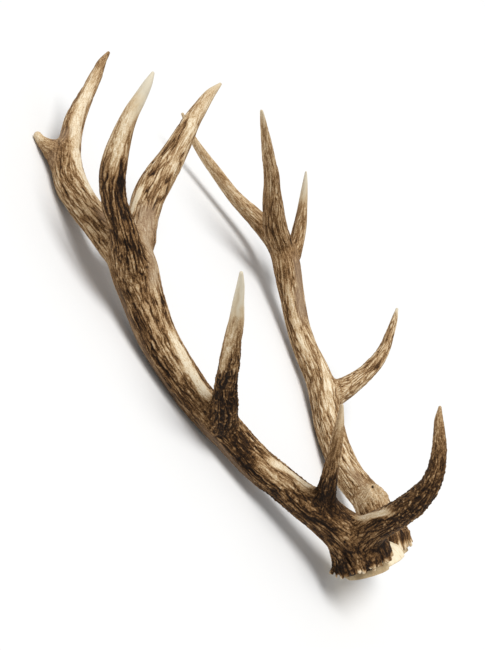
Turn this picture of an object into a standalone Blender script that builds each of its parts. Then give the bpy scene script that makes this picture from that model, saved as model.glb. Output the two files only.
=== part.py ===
"""A pair of red deer antlers still joined by their sawn skull plate, lying on its back with the tines up.

The antlers are described in the deer's own frame: +X to the deer's nose, +Y to its left, +Z up, with the
origin midway between the two coronets.  One empty then turns the whole pair into its resting pose, so that
world +Z is up and the world origin is under the middle of the pair, on the surface it lies on.
All lengths are metres; stations along a branch are millimetres.
"""
import math
from dataclasses import dataclass

import bmesh
import bpy
import numpy as np
from mathutils import Matrix, Vector

MM = 0.001
GAP = 0.0003  # clearance between two pieces that touch

# Resting pose: the deer frame is pitched back onto the beams, then rolled a little, then set on the floor.
REST_PITCH_DEG = -61.23
REST_ROLL_DEG = -0.41
REST_SHIFT = (0.3337, 0.0007, 0.0573)

# How finely the tubes are cut up.
BEAM_SIDES = 24
TINE_SIDES = 12
BEAM_STEP = 0.016
TINE_STEP = 0.018
TINE_LEAST_RINGS = 6
TIP_ROUND = 0.5  # a tip's cap stands out by this share of its last radius
SHARP_ANGLE = math.radians(50)

# The coronet, the knobbly ring round the foot of each beam.
CORONET_LENGTH = 0.020
CORONET_STEP = 0.004
CORONET_LOBES = ((9, 0.055, 0.4), (5, 0.035, 1.9))  # (lobes round the ring, height as a share of radius, phase)

# The skull plate: a dome of bone and two pedicles, cut off by one straight saw stroke.
SAW_POINT = (0.0, 0.0, -0.026)
SAW_SLOPE_DEG = 16.5
SAW_BLOCK = 0.3
BONE_SEGMENTS = 24
BONE_RINGS = 16
BONE_CENTRE = (0.0, 0.0, -0.028)
BONE_HALF = (0.038, 0.062, 0.030)
PEDICLES = (
    ((6, -58, -6, 50), (8, -58, -16, 49), (11, -58, -28, 50), (14, -57, -40, 52)),
    ((2, 56, -13, 50), (4, 56, -20, 49), (7, 55, -28, 50), (10, 55, -40, 52)),
)


@dataclass(frozen=True)
class Branch:
    """One branch: its stations (x, y, z, diameter) in millimetres and the branches it is fitted against."""

    stations: tuple
    fitted_to: tuple = ()
    coronet: bool = False


BRANCHES = {
    "right_beam": Branch(
        (
            (4, -58, -13, 56),
            (2, -59, -7, 74),
            (0, -60, 0, 78),
            (-3, -63, 8, 73),
            (-10, -70, 21, 60),
            (-24, -81, 38, 51),
            (-40, -94, 55, 46),
            (-60, -109, 74, 43),
            (-79, -126, 95, 42),
            (-97, -144, 115, 42),
            (-122, -171, 153, 42),
            (-139, -189, 179, 43),
            (-155, -206, 205, 43),
            (-170, -220, 234, 44),
            (-187, -234, 274, 46),
            (-201, -243, 320, 50),
            (-210, -248, 356, 54),
            (-216, -251, 378, 50),
        ),
        coronet=True,
    ),
    "right_brow_tine": Branch(
        (
            (-6, -66, 16, 44),
            (10, -77, 29, 42),
            (27, -87, 42, 37),
            (57, -98, 61, 33),
            (81, -107, 80, 30),
            (97, -112, 97, 25),
            (108, -116, 124, 20),
            (110, -115, 140, 18),
            (110, -114, 158, 14),
            (109, -112, 175, 10),
            (110, -110, 189, 4),
        ),
        ("right_beam",),
    ),
    "right_bez_tine": Branch(
        (
            (-38, -88, 48, 34),
            (-33, -97, 62, 30),
            (-29, -106, 76, 25),
            (-20, -122, 101, 21),
            (-9, -140, 127, 17),
            (0, -151, 152, 14),
            (6, -157, 176, 10),
            (9, -160, 193, 4),
        ),
        ("right_beam", "right_brow_tine"),
    ),
    "right_trez_tine": Branch(
        (
            (-134, -184, 168, 34),
            (-124, -196, 176, 34),
            (-115, -209, 189, 31),
            (-102, -234, 225, 25),
            (-90, -251, 248, 23),
            (-79, -267, 271, 20),
            (-68, -282, 292, 17),
            (-59, -298, 313, 12),
            (-52, -309, 329, 8),
            (-47, -319, 341, 4),
        ),
        ("right_beam",),
    ),
    "right_crown_rear_tine": Branch(
        (
            (-207, -247, 348, 42),
            (-224, -254, 374, 42),
            (-245, -258, 399, 38),
            (-274, -251, 428, 37),
            (-295, -241, 454, 38),
            (-306, -230, 478, 35),
            (-310, -217, 501, 28),
            (-314, -198, 533, 25),
            (-313, -184, 553, 22),
            (-311, -169, 573, 18),
            (-309, -154, 595, 15),
            (-308, -141, 614, 10),
            (-305, -130, 627, 4),
        ),
        ("right_beam",),
    ),
    "right_crown_spur": Branch(
        (
            (-304, -231, 475, 24),
            (-315, -233, 486, 26),
            (-328, -236, 497, 19),
            (-337, -236, 505, 13),
            (-342, -236, 511, 10),
        ),
        ("right_crown_rear_tine",),
    ),
    "right_crown_front_tine": Branch(
        (
            (-210, -246, 352, 42),
            (-213, -230, 376, 40),
            (-216, -212, 406, 37),
            (-216, -197, 435, 38),
            (-212, -180, 458, 37),
            (-204, -161, 483, 32),
            (-197, -141, 510, 27),
            (-192, -125, 534, 22),
            (-186, -110, 553, 18),
            (-180, -96, 571, 13),
            (-172, -83, 585, 4),
        ),
        ("right_beam", "right_crown_rear_tine"),
    ),
    "right_crown_outer_tine": Branch(
        (
            (-206, -250, 340, 36),
            (-201, -274, 366, 36),
            (-200, -290, 393, 31),
            (-205, -298, 420, 29),
            (-204, -302, 454, 29),
            (-200, -302, 470, 27),
            (-195, -301, 486, 24),
            (-183, -298, 516, 17),
            (-174, -294, 533, 14),
            (-165, -291, 550, 9),
            (-161, -289, 559, 4),
        ),
        ("right_beam", "right_crown_rear_tine", "right_crown_front_tine"),
    ),
    "left_beam": Branch(
        (
            (1, 56, -20, 54),
            (-1, 56, -14, 68),
            (-3, 58, -7, 72),
            (-7, 61, 3, 64),
            (-16, 72, 19, 54),
            (-31, 88, 38, 46),
            (-66, 111, 67, 42),
            (-91, 134, 97, 41),
            (-111, 159, 130, 43),
            (-124, 179, 159, 42),
            (-142, 203, 197, 41),
            (-170, 220, 244, 38),
            (-185, 230, 279, 37),
            (-195, 238, 315, 38),
            (-207, 247, 366, 44),
            (-213, 250, 388, 42),
        ),
        coronet=True,
    ),
    "left_brow_stump": Branch(
        (
            (-22, 74, 24, 40),
            (-14, 73, 38, 40),
            (-6, 71, 48, 35),
            (-2, 70, 54, 26),
        ),
        ("left_beam",),
    ),
    "left_trez_tine": Branch(
        (
            (-127, 185, 166, 36),
            (-119, 203, 172, 36),
            (-110, 215, 178, 34),
            (-98, 228, 187, 30),
            (-80, 250, 205, 25),
            (-69, 265, 221, 22),
            (-61, 278, 239, 18),
            (-57, 291, 258, 15),
            (-53, 303, 278, 11),
            (-51, 316, 298, 4),
        ),
        ("left_beam",),
    ),
    "left_crown_rear_tine": Branch(
        (
            (-208, 249, 372, 36),
            (-225, 260, 399, 36),
            (-250, 264, 427, 32),
            (-268, 251, 450, 27),
            (-287, 231, 475, 22),
            (-307, 198, 516, 18),
            (-317, 182, 536, 15),
            (-325, 166, 556, 11),
            (-331, 138, 593, 4),
        ),
        ("left_beam",),
    ),
    "left_crown_front_tine": Branch(
        (
            (-211, 248, 376, 38),
            (-214, 236, 402, 38),
            (-214, 215, 428, 36),
            (-209, 194, 456, 31),
            (-204, 177, 477, 26),
            (-199, 163, 495, 24),
            (-195, 143, 517, 20),
            (-191, 125, 536, 16),
            (-188, 108, 555, 12),
            (-183, 85, 578, 4),
        ),
        ("left_beam", "left_crown_rear_tine"),
    ),
    "left_crown_outer_tine": Branch(
        (
            (-207, 250, 362, 30),
            (-210, 276, 382, 29),
            (-208, 294, 406, 24),
            (-203, 298, 433, 21),
            (-199, 297, 456, 17),
            (-196, 296, 476, 13),
            (-193, 294, 495, 9),
            (-190, 291, 515, 3),
        ),
        ("left_beam", "left_crown_rear_tine", "left_crown_front_tine"),
    ),
}

# name: (colour, roughness)
FINISHES = {
    "beam": ((0.23, 0.165, 0.10), 0.62),
    "tine": ((0.19, 0.135, 0.085), 0.5),
    "stump": ((0.42, 0.31, 0.17), 0.7),
    "skull": ((0.55, 0.48, 0.34), 0.75),
}


def clear_scene():
    for thing in list(bpy.data.objects):
        bpy.data.objects.remove(thing, do_unlink=True)


def finish(name):
    """The Principled material of one finish."""
    colour, roughness = FINISHES[name]
    material = bpy.data.materials.get(name) or bpy.data.materials.new(name)
    material.use_nodes = True
    shader = material.node_tree.nodes["Principled BSDF"]
    shader.inputs["Base Color"].default_value = (*colour, 1.0)
    shader.inputs["Roughness"].default_value = roughness
    shader.inputs["Metallic"].default_value = 0.0
    return material


def add_object(name, bm, parent, material_name=None):
    """Put a bmesh in the scene under the parent; without a material it is a cutter."""
    bmesh.ops.recalc_face_normals(bm, faces=bm.faces[:])
    mesh = bpy.data.meshes.new(name)
    bm.to_mesh(mesh)
    bm.free()
    mesh.shade_smooth()
    mesh.set_sharp_from_angle(angle=SHARP_ANGLE)
    thing = bpy.data.objects.new(name, mesh)
    bpy.context.scene.collection.objects.link(thing)
    thing.parent = parent
    if material_name:
        mesh.materials.append(finish(material_name))
    else:
        thing.hide_render = True
        thing.display_type = "WIRE"
    return thing


def spline(stations, steps):
    """Catmull-Rom curve through the stations, at the given distances along their chords."""
    points = np.array(stations, float) * MM
    chords = np.linalg.norm(np.diff(points[:, :3], axis=0), axis=1)
    knots = np.concatenate(([0.0], np.cumsum(chords)))
    slopes = np.gradient(points, knots, axis=0)
    at = np.clip(steps, 0.0, knots[-1])
    low = np.clip(np.searchsorted(knots, at, side="right") - 1, 0, len(knots) - 2)
    span = (knots[low + 1] - knots[low])[:, None]
    t = (at - knots[low])[:, None] / span
    a, b = points[low], points[low + 1]
    ma, mb = slopes[low] * span, slopes[low + 1] * span
    return (
        a * (2 * t**3 - 3 * t**2 + 1)
        + ma * (t**3 - 2 * t**2 + t)
        + b * (3 * t**2 - 2 * t**3)
        + mb * (t**3 - t**2)
    )


def chord_length(stations):
    points = np.array(stations, float)[:, :3] * MM
    return float(np.linalg.norm(np.diff(points, axis=0), axis=1).sum())


def ring_distances(branch):
    """Where the rings of a branch stand: close together on a coronet, wider along the rest."""
    length = chord_length(branch.stations)
    if not branch.coronet:
        return np.linspace(0.0, length, max(TINE_LEAST_RINGS, round(length / TINE_STEP)) + 1)
    foot = np.arange(0.0, CORONET_LENGTH, CORONET_STEP)
    rest = np.linspace(CORONET_LENGTH, length, round((length - CORONET_LENGTH) / BEAM_STEP) + 1)
    return np.concatenate((foot, rest))


def carried_frames(centres):
    """A tangent and two cross directions at each centre, carried along without twist."""
    tangents = np.gradient(centres, axis=0)
    tangents /= np.linalg.norm(tangents, axis=1)[:, None]
    side = np.cross(tangents[0], (0.0, 1.0, 0.0))
    sides = []
    for tangent in tangents:
        side = side - tangent * side.dot(tangent)
        side = side / np.linalg.norm(side)
        sides.append(side)
    sides = np.array(sides)
    return tangents, sides, np.cross(tangents, sides)


def tube(branch, grow=0.0):
    """A branch as a closed tube with a flat foot and a rounded tip; grow adds to every radius and end.

    Its walls are triangles from the start, so that a grown copy keeps an even clearance to the branch.
    """
    at = ring_distances(branch)
    path = spline(branch.stations, at)
    centres, radii = path[:, :3].copy(), path[:, 3] / 2 + grow
    tangents, sides, ups = carried_frames(centres)
    centres[0] -= tangents[0] * grow
    count = BEAM_SIDES if branch.coronet else TINE_SIDES
    angles = np.arange(count) * math.tau / count
    swell = np.ones((len(at), count))
    if branch.coronet:
        fade = np.clip(1.0 - at / CORONET_LENGTH, 0.0, 1.0) * np.clip(at / CORONET_STEP, 0.0, 1.0)
        for lobes, height, phase in CORONET_LOBES:
            swell += fade[:, None] * height * np.cos(lobes * angles + phase)
    arm = radii[:, None] * swell
    rings = centres[:, None] + arm[..., None] * (
        np.cos(angles)[:, None] * sides[:, None] + np.sin(angles)[:, None] * ups[:, None]
    )
    bm = bmesh.new()
    loops = [[bm.verts.new(point) for point in ring] for ring in rings]
    for lower, upper in zip(loops, loops[1:]):
        for i in range(count):
            j = (i + 1) % count
            bm.faces.new((lower[i], lower[j], upper[j]))
            bm.faces.new((lower[i], upper[j], upper[i]))
    bm.faces.new(loops[0][::-1])
    tip = bm.verts.new(centres[-1] + tangents[-1] * (radii[-1] * TIP_ROUND + grow))
    for i in range(count):
        bm.faces.new((loops[-1][i], loops[-1][(i + 1) % count], tip))
    return bm


def cut(thing, tool, operation="DIFFERENCE"):
    modifier = thing.modifiers.new(f"{operation.lower()}_{tool.name}", "BOOLEAN")
    modifier.operation = operation
    modifier.solver = "EXACT"
    modifier.object = tool


def saw_block():
    """Everything below the saw stroke, as one block whose top face is the stroke's plane."""
    bm = bmesh.new()
    turn = Matrix.Rotation(math.radians(-SAW_SLOPE_DEG), 4, "Y")
    place = Matrix.Translation(SAW_POINT) @ turn @ Matrix.Translation((0.0, 0.0, -SAW_BLOCK / 2))
    bmesh.ops.create_cube(bm, size=SAW_BLOCK, matrix=place)
    return bm


def frontal_bone():
    """The domed bone between the pedicles."""
    bm = bmesh.new()
    turn = Matrix.Rotation(math.radians(-SAW_SLOPE_DEG), 4, "Y")
    place = Matrix.Translation(BONE_CENTRE) @ turn @ Matrix.Diagonal((*BONE_HALF, 1.0))
    bmesh.ops.create_uvsphere(
        bm, u_segments=BONE_SEGMENTS, v_segments=BONE_RINGS, radius=1.0, matrix=place
    )
    return bm


def skull_plate(parent, beam_cutters):
    plate = add_object("skull_plate", frontal_bone(), parent, "skull")
    for number, stations in enumerate(PEDICLES):
        cut(plate, add_object(f"pedicle_{number}", tube(Branch(stations)), parent), "UNION")
    for cutter in beam_cutters:
        cut(plate, cutter)
    cut(plate, add_object("saw", saw_block(), parent))
    return plate


def material_of(name):
    if name.endswith("_beam"):
        return "beam"
    return "stump" if name.endswith("_stump") else "tine"


def resting_frame():
    """The empty that holds the deer frame and turns it into the resting pose."""
    frame = bpy.data.objects.new("resting_frame", None)
    bpy.context.scene.collection.objects.link(frame)
    pitch = Matrix.Rotation(math.radians(REST_PITCH_DEG), 4, "Y")
    roll = Matrix.Rotation(math.radians(REST_ROLL_DEG), 4, "X")
    frame.matrix_world = Matrix.Translation(Vector(REST_SHIFT)) @ roll @ pitch
    return frame


def main():
    clear_scene()
    frame = resting_frame()
    used_as_cutter = {name for branch in BRANCHES.values() for name in branch.fitted_to}
    cutters = {
        name: add_object(f"cut_{name}", tube(BRANCHES[name], GAP), frame)
        for name in BRANCHES
        if name in used_as_cutter
    }
    for name, branch in BRANCHES.items():
        thing = add_object(name, tube(branch), frame, material_of(name))
        for neighbour in branch.fitted_to:
            cut(thing, cutters[neighbour])
    skull_plate(frame, [cutters["right_beam"], cutters["left_beam"]])
    bpy.context.view_layer.update()


main()
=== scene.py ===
"""A pair of red deer antlers joined by their sawn skull plate, lying on a pale studio floor.

Each antler is grown as one skin over all its branches, so that every fork has its natural web.  It
is then carved with grooves and pearls, and cut into one closed piece for each branch, and two for
each beam.

Branches are described in the deer's own frame: +X to the deer's nose, +Y to its left, +Z up, with
the origin midway between the coronets.  RestingPose turns that frame into the frame of the imported
model.  Stations are (x, y, z, diameter) in millimetres; so are all heights and spacings of the
relief.
"""
import logging
import math
from dataclasses import dataclass, field
from enum import Enum

import bpy
import numpy as np
from mathutils import Matrix, Vector


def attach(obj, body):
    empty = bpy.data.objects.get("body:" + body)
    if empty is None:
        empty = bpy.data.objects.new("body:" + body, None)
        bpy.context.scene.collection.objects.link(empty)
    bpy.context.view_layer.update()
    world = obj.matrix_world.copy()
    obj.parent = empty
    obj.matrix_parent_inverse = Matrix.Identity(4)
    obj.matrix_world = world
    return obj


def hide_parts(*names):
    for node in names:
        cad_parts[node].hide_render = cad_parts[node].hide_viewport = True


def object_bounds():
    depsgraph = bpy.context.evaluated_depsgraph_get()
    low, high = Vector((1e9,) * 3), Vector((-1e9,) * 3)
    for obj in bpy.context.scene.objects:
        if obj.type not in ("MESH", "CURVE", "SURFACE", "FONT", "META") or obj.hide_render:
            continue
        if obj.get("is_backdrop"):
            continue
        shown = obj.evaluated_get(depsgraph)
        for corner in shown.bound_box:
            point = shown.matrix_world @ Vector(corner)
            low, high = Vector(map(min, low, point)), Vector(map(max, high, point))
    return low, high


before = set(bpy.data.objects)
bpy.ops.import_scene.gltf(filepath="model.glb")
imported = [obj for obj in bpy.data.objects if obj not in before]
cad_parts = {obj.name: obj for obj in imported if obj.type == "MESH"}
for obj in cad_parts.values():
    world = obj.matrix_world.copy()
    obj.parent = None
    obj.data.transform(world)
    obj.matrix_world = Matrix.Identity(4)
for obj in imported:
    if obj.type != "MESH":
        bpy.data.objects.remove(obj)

log = logging.getLogger("antlers")

MM = 0.001
ROOT_BODY = "root"
SKIN_VOXEL = 0.85  # mm between the points of the finished skin
WEB = 5.0  # mm, how softly branches run into each other at a fork
CAP_DEPTH = 8.0  # mm below the skin at which the fan that closes a piece meets
# The colour attribute's tone and grey hold stains and worn places, and also painted shade and a painted
# highlight.
WEAR_AND_SHADE = "wear_and_shade"  # colour attribute: tone, ivory, grey, gloss
GRAIN = "grain"  # vector attribute: place across and along the branch, mm


# ------------------------------------------------------------------------------------------------ noise


def lattice_slopes(cells: np.ndarray, seed: int) -> np.ndarray:
    """A pseudo-random slope for every lattice cell, by mixing the bits of its place.

    Args:
        cells: whole-number places as uint32, shape (n, 3).
        seed: which of many unlike patterns.

    Returns:
        Slopes with each part between -1 and 1, shape (n, 3).
    """
    mixed = cells[:, 0] * np.uint32(374761393) ^ cells[:, 1] * np.uint32(668265263)
    mixed = (mixed ^ (mixed >> np.uint32(15))) * np.uint32(2246822519)
    mixed += cells[:, 2] * np.uint32(3266489917) + np.uint32((seed * 374761393 + 97) & 0xFFFFFFFF)
    mixed = (mixed ^ (mixed >> np.uint32(13))) * np.uint32(1274126177)
    mixed = (mixed ^ (mixed >> np.uint32(16))) * np.uint32(2654435761)
    mixed ^= mixed >> np.uint32(15)
    parts = [(mixed >> np.uint32(shift)) & np.uint32(1023) for shift in (0, 10, 20)]
    return np.stack(parts, axis=1).astype(np.float32) / 511.5 - 1.0


def noise(points: np.ndarray, cell: tuple, seed: int) -> np.ndarray:
    """Gradient noise: each lattice corner holds a slope, blended by the fade t^3(6t^2 - 15t + 10).

    Args:
        points: places in millimetres, shape (n, 3).
        cell: the size of one lattice cell along each axis, in millimetres.
        seed: which pattern.

    Returns:
        Values of about -1 to 1, shape (n,).
    """
    scaled = points / np.array(cell)
    floor = np.floor(scaled)
    near = (scaled - floor).astype(np.float32)
    cells = floor.astype(np.int64).astype(np.uint32)
    fade = near**3 * (near * (near * 6 - 15) + 10)
    total = np.zeros(len(points), np.float32)
    for corner in np.ndindex(2, 2, 2):
        step = np.array(corner, np.float32)
        weight = np.prod(step * fade + (1 - step) * (1 - fade), axis=1)
        slopes = lattice_slopes(cells + np.array(corner, np.uint32), seed)
        total += weight * ((near - step) * slopes).sum(axis=1)
    return total * 1.6


def smooth(low: float, high: float, values: np.ndarray) -> np.ndarray:
    """Goes from 0 at low to 1 at high, level at both ends; low may be the larger of the two."""
    t = np.clip((values - low) / (high - low), 0.0, 1.0)
    return t * t * (3 - 2 * t)


def crease(values: np.ndarray, width: float | np.ndarray) -> np.ndarray:
    """1 where the noise crosses zero, 0 from width away on either side: thin wandering lines."""
    return np.clip(1 - np.abs(values) / width, 0.0, 1.0) ** 1.2


def along_table(pairs: tuple, share: np.ndarray) -> np.ndarray:
    """Reads (share along, value) pairs at every share, straight between them."""
    at, values = np.array(pairs, float).T
    return np.interp(share, at, values)


# --------------------------------------------------------------------------------------- plain meshes


def closed_rings(rings: np.ndarray, poles: np.ndarray) -> tuple[np.ndarray, np.ndarray]:
    """Walls from each ring of points to the next, and a fan to a pole at each end.

    Args:
        rings: the points of each ring in turn, anticlockwise about the way they run, (rings, sides, 3).
        poles: a point before the first ring and one after the last, (2, 3).

    Returns:
        Vertices, and triangles that face outwards.
    """
    count, sides = rings.shape[:2]
    ring, after = np.arange(sides), (np.arange(sides) + 1) % sides
    low = np.arange(count - 1)[:, None] * sides
    here, right = low + ring, low + after
    last, end = (count - 1) * sides, count * sides
    triangles = np.concatenate(
        (
            np.stack((here, right, right + sides), -1).reshape(-1, 3),
            np.stack((here, right + sides, here + sides), -1).reshape(-1, 3),
            np.stack((after, ring, np.full(sides, end)), -1),
            np.stack((ring + last, after + last, np.full(sides, end + 1)), -1),
        )
    )
    return np.concatenate((rings.reshape(-1, 3), poles)), triangles


def split(quads: np.ndarray) -> np.ndarray:
    """Two triangles for each quad."""
    return np.concatenate((quads[:, (0, 1, 2)], quads[:, (0, 2, 3)]))


def mesh_of(name: str, points: np.ndarray, faces: list | np.ndarray) -> bpy.types.Mesh:
    """A new mesh of points and faces."""
    mesh = bpy.data.meshes.new(name)
    mesh.from_pydata(points, [], faces)
    return mesh


def placed(name: str, data: bpy.types.ID) -> bpy.types.Object:
    """Puts a mesh, a lamp or a camera into the scene."""
    thing = bpy.data.objects.new(name, data)
    bpy.context.scene.collection.objects.link(thing)
    return thing


def finished_mesh(thing: bpy.types.Object) -> bpy.types.Mesh:
    """A copy of an object's mesh with its modifiers carried out."""
    return bpy.data.meshes.new_from_object(thing.evaluated_get(bpy.context.evaluated_depsgraph_get()))


def points_of(mesh: bpy.types.Mesh) -> np.ndarray:
    """A mesh's vertices, (n, 3)."""
    found = np.empty(len(mesh.vertices) * 3)
    mesh.vertices.foreach_get("co", found)
    return found.reshape(-1, 3)


def give_numbers(mesh: bpy.types.Mesh, name: str, values: np.ndarray) -> None:
    """Puts three or four numbers on every vertex: a vector or a colour attribute."""
    kind, key = ("FLOAT_COLOR", "color") if values.shape[1] == 4 else ("FLOAT_VECTOR", "vector")
    mesh.attributes.new(name, kind, "POINT").data.foreach_set(key, values.ravel().astype(np.float32))


# ------------------------------------------------------------------------------------ shape of a branch


class Mark(Enum):
    """What a patch does to the skin: worn and stained places, and on the right beam painted shade and a
    painted highlight.
    """

    PALE = "pale"
    DARK = "dark"
    GREY = "grey"


@dataclass(frozen=True)
class Patch:
    """A long spot on a branch: a worn place, a stain, and on the right beam also painted shade and a
    painted highlight.

    It runs from start to end in millimetres along the branch, from one angle round it to another in
    degrees, and is half millimetres wide to each side.
    """

    mark: Mark
    start: float
    end: float
    start_angle: float
    end_angle: float
    half: float
    strength: float = 1.0


@dataclass(frozen=True)
class Branch:
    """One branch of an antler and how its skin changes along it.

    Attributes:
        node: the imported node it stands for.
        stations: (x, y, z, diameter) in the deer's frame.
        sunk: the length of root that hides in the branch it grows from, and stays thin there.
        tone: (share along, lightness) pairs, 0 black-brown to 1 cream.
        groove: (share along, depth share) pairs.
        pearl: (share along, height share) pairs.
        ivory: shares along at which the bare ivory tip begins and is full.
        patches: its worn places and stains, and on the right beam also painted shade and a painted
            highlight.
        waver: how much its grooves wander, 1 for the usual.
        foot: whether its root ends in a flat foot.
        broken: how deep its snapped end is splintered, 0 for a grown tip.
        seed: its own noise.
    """

    node: str
    stations: tuple
    sunk: float = 0.0
    tone: tuple = ((0.0, 0.5), (1.0, 0.5))
    groove: tuple = ((0.0, 1.0), (1.0, 1.0))
    pearl: tuple = ((0.0, 0.0), (1.0, 0.0))
    ivory: tuple = (2.0, 3.0)
    patches: tuple = ()
    waver: float = 1.0
    foot: bool = False
    broken: float = 0.0
    seed: int = 1


@dataclass(frozen=True)
class Local:
    """Where points stand against one branch.

    Attributes:
        distance: distance to its skin, below 0 inside.
        across: place in the cross-section, (n, 2).
        along: distance from its root.
        outward: unit vectors away from its axis.
    """

    distance: np.ndarray
    across: np.ndarray
    along: np.ndarray
    outward: np.ndarray

    def chosen(self, felt: np.ndarray) -> "Local":
        """The same for only some of the points."""
        return Local(self.distance[felt], self.across[felt], self.along[felt], self.outward[felt])


class Course:
    """The worked-out run of a branch: centres, radii and cross directions every STEP millimetres."""

    STEP = 2.0
    THIN_ROOT = 0.35
    POLE_SHARE = 0.7
    BLOCK = 20000

    def __init__(self, branch: Branch) -> None:
        """Reads the smooth curve through the branch's stations."""
        self.branch = branch
        rows = self.spline(np.array(branch.stations, float))
        self.centres, self.radii = rows[:, :3], rows[:, 3] / 2
        steps = np.linalg.norm(np.diff(self.centres, axis=0), axis=1)
        self.along = np.concatenate(([0.0], np.cumsum(steps)))
        self.length = self.along[-1]
        if branch.sunk:
            self.radii = self.radii * (
                self.THIN_ROOT + (1 - self.THIN_ROOT) * smooth(0.0, branch.sunk, self.along)
            )
        self.tangents = np.gradient(self.centres, axis=0)
        self.tangents /= np.linalg.norm(self.tangents, axis=1)[:, None]
        self.sides = self.carried_sides()
        self.ups = np.cross(self.tangents, self.sides)

    def spline(self, stations: np.ndarray) -> np.ndarray:
        """Cubic Hermite pieces through the stations; slopes are central differences over the chords."""
        chords = np.linalg.norm(np.diff(stations[:, :3], axis=0), axis=1)
        knots = np.concatenate(([0.0], np.cumsum(chords)))
        at = np.linspace(0.0, knots[-1], round(knots[-1] / self.STEP) + 1)
        slopes = np.gradient(stations, knots, axis=0)
        low = np.clip(np.searchsorted(knots, at, side="right") - 1, 0, len(knots) - 2)
        span = (knots[low + 1] - knots[low])[:, None]
        t = (at - knots[low])[:, None] / span
        near, far = stations[low], stations[low + 1]
        leave, arrive = slopes[low] * span, slopes[low + 1] * span
        return (
            near * (2 * t**3 - 3 * t**2 + 1)
            + leave * (t**3 - 2 * t**2 + t)
            + far * (3 * t**2 - 2 * t**3)
            + arrive * (t**3 - t**2)
        )

    def carried_sides(self) -> np.ndarray:
        """One cross direction for each centre, carried along the run without twist."""
        side = np.cross(self.tangents[0], (0.0, 1.0, 0.0))
        sides = []
        for tangent in self.tangents:
            side = side - tangent * side.dot(tangent)
            side = side / np.linalg.norm(side)
            sides.append(side)
        return np.array(sides)

    def place(self, along: np.ndarray, angle: np.ndarray, lift: np.ndarray) -> np.ndarray:
        """Points at distances along and angles round the branch, lifted off its skin."""

        def read(values: np.ndarray) -> np.ndarray:
            """Rows of values at the asked distances."""
            return np.stack([np.interp(along, self.along, column) for column in values.T], axis=-1)

        reach = np.interp(along, self.along, self.radii) + lift
        turn = np.cos(angle)[:, None] * read(self.sides) + np.sin(angle)[:, None] * read(self.ups)
        return read(self.centres) + reach[:, None] * turn

    def rough_tube(self, sides: int = 32, every: int = 2) -> tuple[np.ndarray, np.ndarray]:
        """A closed tube: each ring is centre + radius (cos a side + sin a up), and two poles close it.

        Returns:
            Vertices, and triangles that face outwards.
        """
        keep = np.unique(np.append(np.arange(0, len(self.along), every), len(self.along) - 1))
        angle = np.arange(sides) * math.tau / sides
        turn = np.cos(angle)[:, None] * self.sides[keep][:, None]
        turn = turn + np.sin(angle)[:, None] * self.ups[keep][:, None]
        rings = self.centres[keep][:, None] + self.radii[keep][:, None, None] * turn
        stand = self.radii[[0, -1], None] * self.POLE_SHARE * np.array([[self.branch.foot - 1], [1]])
        poles = self.centres[[0, -1]] + self.tangents[[0, -1]] * stand
        return closed_rings(rings, poles)

    def box(self) -> tuple[np.ndarray, np.ndarray]:
        """Lowest and highest corner of the branch, with room for the web round it."""
        room = self.radii[:, None] + 4 * WEB
        return (self.centres - room).min(axis=0), (self.centres + room).max(axis=0)

    def local(self, points: np.ndarray) -> Local:
        """Works out where points stand against this branch.

        The nearest centre is found first, then the nearer of its two segments gives the foot of the
        perpendicular, and all else is read between that segment's ends.  A grown end is round, a foot is
        round but cut off flat, and a snapped end is a wall cut off by splinters.
        """
        centres = self.centres
        size = (centres**2).sum(axis=1)
        nearest = np.empty(len(points), int)
        for start in range(0, len(points), self.BLOCK):
            block = points[start : start + self.BLOCK]
            nearest[start : start + self.BLOCK] = (size - 2 * block @ centres.T).argmin(axis=1)
        low = np.zeros(len(points), int)
        share = np.zeros(len(points))
        best = np.full(len(points), np.inf)
        for shift in (-1, 0):
            here = np.clip(nearest + shift, 0, len(centres) - 2)
            run = centres[here + 1] - centres[here]
            foot = np.clip(((points - centres[here]) * run).sum(axis=1) / (run**2).sum(axis=1), 0, 1)
            gap = ((points - centres[here] - run * foot[:, None]) ** 2).sum(axis=1)
            closer = gap < best
            best, low = np.where(closer, gap, best), np.where(closer, here, low)
            share = np.where(closer, foot, share)
        share = share[:, None]

        def between(values: np.ndarray) -> np.ndarray:
            """Rows of values at the foot of each perpendicular."""
            return values[low] * (1 - share) + values[low + 1] * share

        away = points - between(centres)
        reach = np.linalg.norm(away, axis=1)
        beyond = (away * between(self.tangents)).sum(axis=1)
        across = np.stack([(away * between(way)).sum(axis=1) for way in (self.sides, self.ups)], axis=1)
        along = between(self.along[:, None])[:, 0] + beyond
        radius = between(self.radii[:, None])[:, 0]
        outward = away / np.maximum(reach, 1e-6)[:, None]
        if not (self.branch.foot or self.branch.broken):
            return Local(reach - radius, across, along, outward)
        if self.branch.foot:
            wall, over, way = reach - radius, -along, -self.tangents[0]
        else:
            wall = np.linalg.norm(across, axis=1) - radius
            over, way = along - self.length - self.splinters(across), self.tangents[-1]
        outward = np.where((over > wall)[:, None], way, outward)
        return Local(np.maximum(wall, over), across, along, outward)

    def splinters(self, across: np.ndarray) -> np.ndarray:
        """How far a snapped end stands out at each place in its cross-section."""
        place = np.column_stack((across, np.zeros(len(across))))
        jag = noise(place, (7.0, 7.0, 9.0), 51) + 0.6 * noise(place, (2.8, 2.8, 9.0), 52)
        return self.branch.broken * (jag - 0.4)


# ------------------------------------------------------------------------------------- relief and wear


@dataclass
class Skin:
    """What the carving gives every point.

    Attributes:
        height: how far it stands out, in millimetres.
        tone, ivory, grey, gloss: the four numbers of the finish, 0 to 1.
        flow: its place across and along the branch, bent as the grooves are.
    """

    height: np.ndarray
    tone: np.ndarray
    ivory: np.ndarray
    grey: np.ndarray
    gloss: np.ndarray
    flow: np.ndarray

    def numbers(self) -> np.ndarray:
        """Height, then the finish's four, one row each."""
        return np.array((self.height, self.tone, self.ivory, self.grey, self.gloss))


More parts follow.
